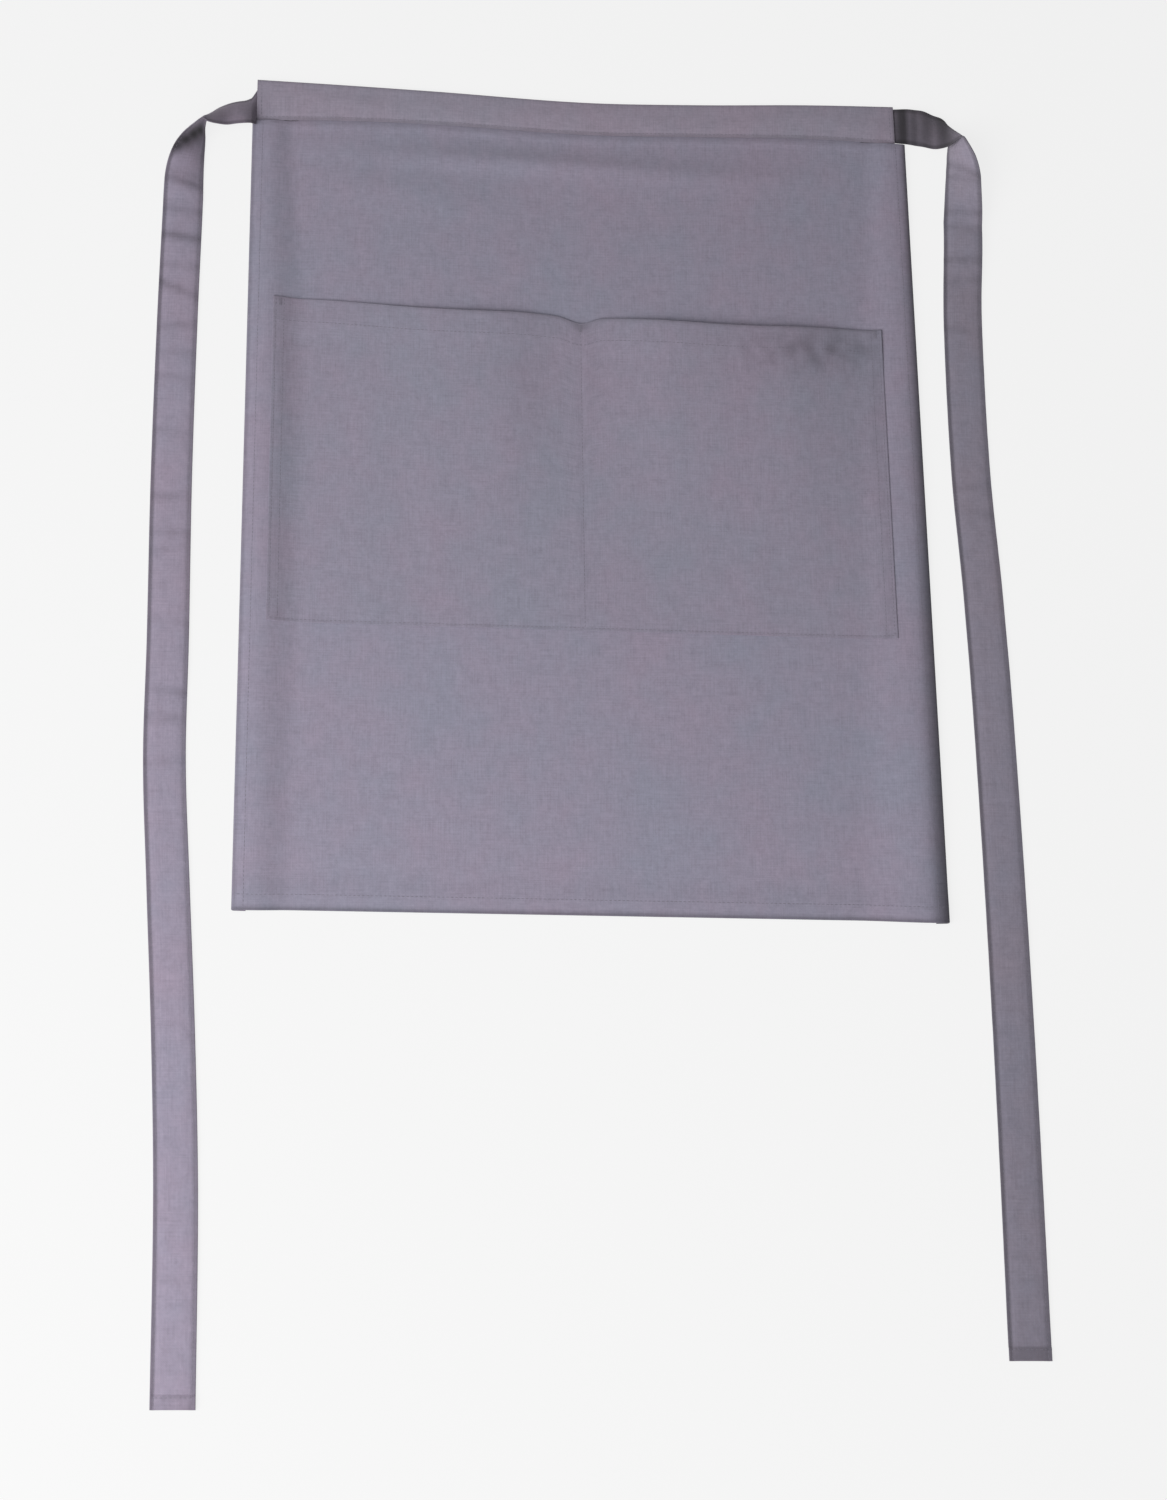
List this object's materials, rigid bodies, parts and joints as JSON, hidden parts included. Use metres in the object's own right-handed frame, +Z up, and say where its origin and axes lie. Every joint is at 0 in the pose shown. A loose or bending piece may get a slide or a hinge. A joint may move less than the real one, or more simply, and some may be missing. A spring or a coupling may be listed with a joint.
{
  "type": "waist apron",
  "caption": "Fabric waist apron laid flat, with a folded waistband, a wide patch pocket seamed down its middle and a long flat tie at each end",
  "frame": {"origin": "on the surface that the apron lies on, under the middle of the waistband", "axes": "+X towards the tie on the right as seen from above the front, +Y from the hem towards the waist, +Z up out of the front of the apron"},
  "size_m": [0.6344, 1.0117, 0.0271],
  "materials": {
    "panel_cloth": "plain woven polyester and cotton cloth, matte, mauve grey",
    "band_cloth": "plain woven polyester and cotton cloth, matte, folded along its top",
    "pocket_cloth": "plain woven polyester and cotton cloth, matte, a little darker",
    "tie_left_cloth": "plain woven cloth tape, matte, stitched along its edges",
    "tie_right_cloth": "plain woven cloth tape, matte, stitched along its edges"
  },
  "bodies": {
    "root": {"front_panel": "panel_cloth", "waistband": "band_cloth", "pocket": "pocket_cloth", "tie_left": "tie_left_cloth", "tie_right": "tie_right_cloth"}
  },
  "joints": []
}
